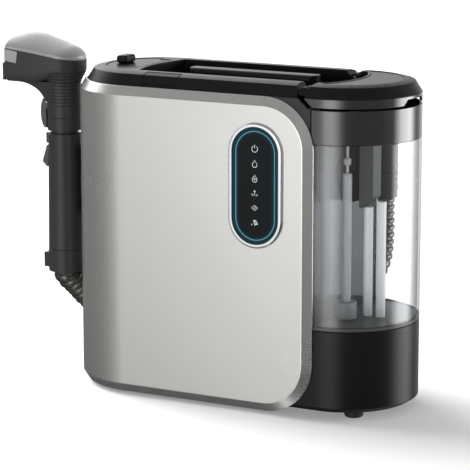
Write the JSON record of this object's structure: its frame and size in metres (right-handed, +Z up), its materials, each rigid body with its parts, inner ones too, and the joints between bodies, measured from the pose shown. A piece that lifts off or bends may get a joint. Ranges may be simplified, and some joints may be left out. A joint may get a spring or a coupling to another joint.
{
  "type": "steam spot cleaner",
  "caption": "Portable steam spot cleaner: silver shells on a black body, clear dirty water tank at one end, touch panel, carry handle and a corded suction handset hung on its dock.",
  "frame": {"origin": "on the table, under the middle of the box round everything but the hose", "axes": "+X from the handset to the dirty water tank, +Y from the control panel to the rear, +Z up"},
  "size_m": [0.44, 0.1926, 0.3398],
  "materials": {
    "silver_shell": "satin silver paint",
    "black_moulding": "fine matte grain",
    "gloss_black": "polished",
    "soft_black": "matte",
    "bright_trim": "bright",
    "dark_glass": "glossy",
    "teal_light": "lit ring",
    "circuit_board": "lacquered",
    "screw_steel": "plain",
    "hose_plastic": "translucent, glossy ribs",
    "clear_tank": "clear",
    "milky_plastic": "milky",
    "duct_grey": "satin",
    "motor_grey": "plain",
    "cast_alloy": "as cast",
    "handset_grey": "fine matte grain",
    "trigger_grey": "satin",
    "handset_silver": "satin silver paint",
    "nose_clear": "frosted clear"
  },
  "bodies": {
    "machine": {"base_tray": "black_moulding", "rubber_feet": "soft_black", "base_screws": "screw_steel", "core_frame": "black_moulding", "front_shell": "silver_shell", "rear_shell": "silver_shell", "top_deck": "black_moulding", "carry_handle": "black_moulding", "handle_screws": "screw_steel", "control_bezel": "bright_trim", "control_glass": "dark_glass", "light_ring": "teal_light", "control_board": "circuit_board", "vent_grille": "black_moulding", "cable_gland": "soft_black", "hose_socket": "black_moulding", "hose_cuff": "black_moulding", "hose_hooks": "black_moulding", "handset_dock": "black_moulding", "suction_hose": "hose_plastic", "clean_tank": "milky_plastic", "vacuum_motor": "motor_grey", "fan_housing": "motor_grey", "water_pump": "motor_grey", "steam_boiler": "cast_alloy", "water_lines": "milky_plastic", "tank_seal": "soft_black", "lid_pins": "screw_steel", "flap_pin": "screw_steel"},
    "impeller": {"fan_impeller": "cast_alloy"},
    "flap": {"filler_flap": "black_moulding", "flap_tab": "black_moulding"},
    "latch_front": {"front_latch": "black_moulding"},
    "latch_rear": {"rear_latch": "black_moulding"},
    "lid": {"tank_lid": "black_moulding", "lid_skirt": "gloss_black"},
    "lid_release": {"lid_panel": "black_moulding"},
    "dirty_tank": {"tank_shell": "clear_tank", "tank_collar": "gloss_black", "inlet_block": "black_moulding", "inlet_duct": "duct_grey", "stand_pipes": "milky_plastic", "float_guide": "milky_plastic"},
    "float": {"tank_float": "black_moulding"},
    "handset": {"grip_front": "handset_grey", "grip_rear": "handset_grey", "hose_collar": "handset_grey", "hanger": "handset_grey", "head_body": "handset_grey", "head_cover": "handset_silver", "nose_window": "nose_clear", "mouth_lip": "gloss_black", "trigger_pins": "screw_steel"},
    "trigger_steam": {"steam_trigger": "trigger_grey"},
    "button_lock": {"lock_button": "gloss_black"},
    "trigger_spray": {"spray_trigger": "trigger_grey"}
  },
  "joints": [
    {"name": "impeller_spin", "type": "hinge", "parent": "machine", "child": "impeller", "pos_m": [0.068, -0.01585, 0.103], "axis": [0, 0, 1], "continuous": true},
    {"name": "flap_hinge", "type": "hinge", "parent": "machine", "child": "flap", "pos_m": [-0.063, -0.01585, 0.3124], "axis": [0, 1, 0], "range_deg": [0, 95]},
    {"name": "latch_front_press", "type": "slide", "parent": "machine", "child": "latch_front", "axis": [0, 1, 0], "range_m": [0, 0.002], "stiffness_N_per_m": 600},
    {"name": "latch_rear_press", "type": "slide", "parent": "machine", "child": "latch_rear", "axis": [0, -1, 0], "range_m": [0, 0.002], "stiffness_N_per_m": 600},
    {"name": "lid_hinge", "type": "hinge", "parent": "machine", "child": "lid", "pos_m": [0.1345, -0.01585, 0.309], "axis": [0, -1, 0], "range_deg": [0, 85]},
    {"name": "lid_release_press", "type": "slide", "parent": "lid", "child": "lid_release", "axis": [0, 0, -1], "range_m": [0, 0.002], "stiffness_N_per_m": 800},
    {"name": "tank_pull", "type": "slide", "parent": "machine", "child": "dirty_tank", "axis": [1, 0, 0], "range_m": [0, 0.09]},
    {"name": "float_rise", "type": "slide", "parent": "dirty_tank", "child": "float", "axis": [0, 0, 1], "range_m": [0, 0.06]},
    {"name": "handset_lift", "type": "slide", "parent": "machine", "child": "handset", "axis": [0, 0, 1], "range_m": [0, 0.035], "deforming": ["suction_hose"]},
    {"name": "steam_trigger_pull", "type": "hinge", "parent": "handset", "child": "trigger_steam", "pos_m": [-0.1785, -0.01585, 0.2715], "axis": [0, -1, 0], "range_deg": [0, 8], "stiffness_Nm_per_rad": 0.35},
    {"name": "lock_button_press", "type": "slide", "parent": "handset", "child": "button_lock", "axis": [1, 0, 0], "range_m": [0, 0.0015], "stiffness_N_per_m": 500},
    {"name": "spray_trigger_pull", "type": "hinge", "parent": "handset", "child": "trigger_spray", "pos_m": [-0.1765, -0.01585, 0.2245], "axis": [0, -1, 0], "range_deg": [0, 10], "stiffness_Nm_per_rad": 0.25}
  ]
}
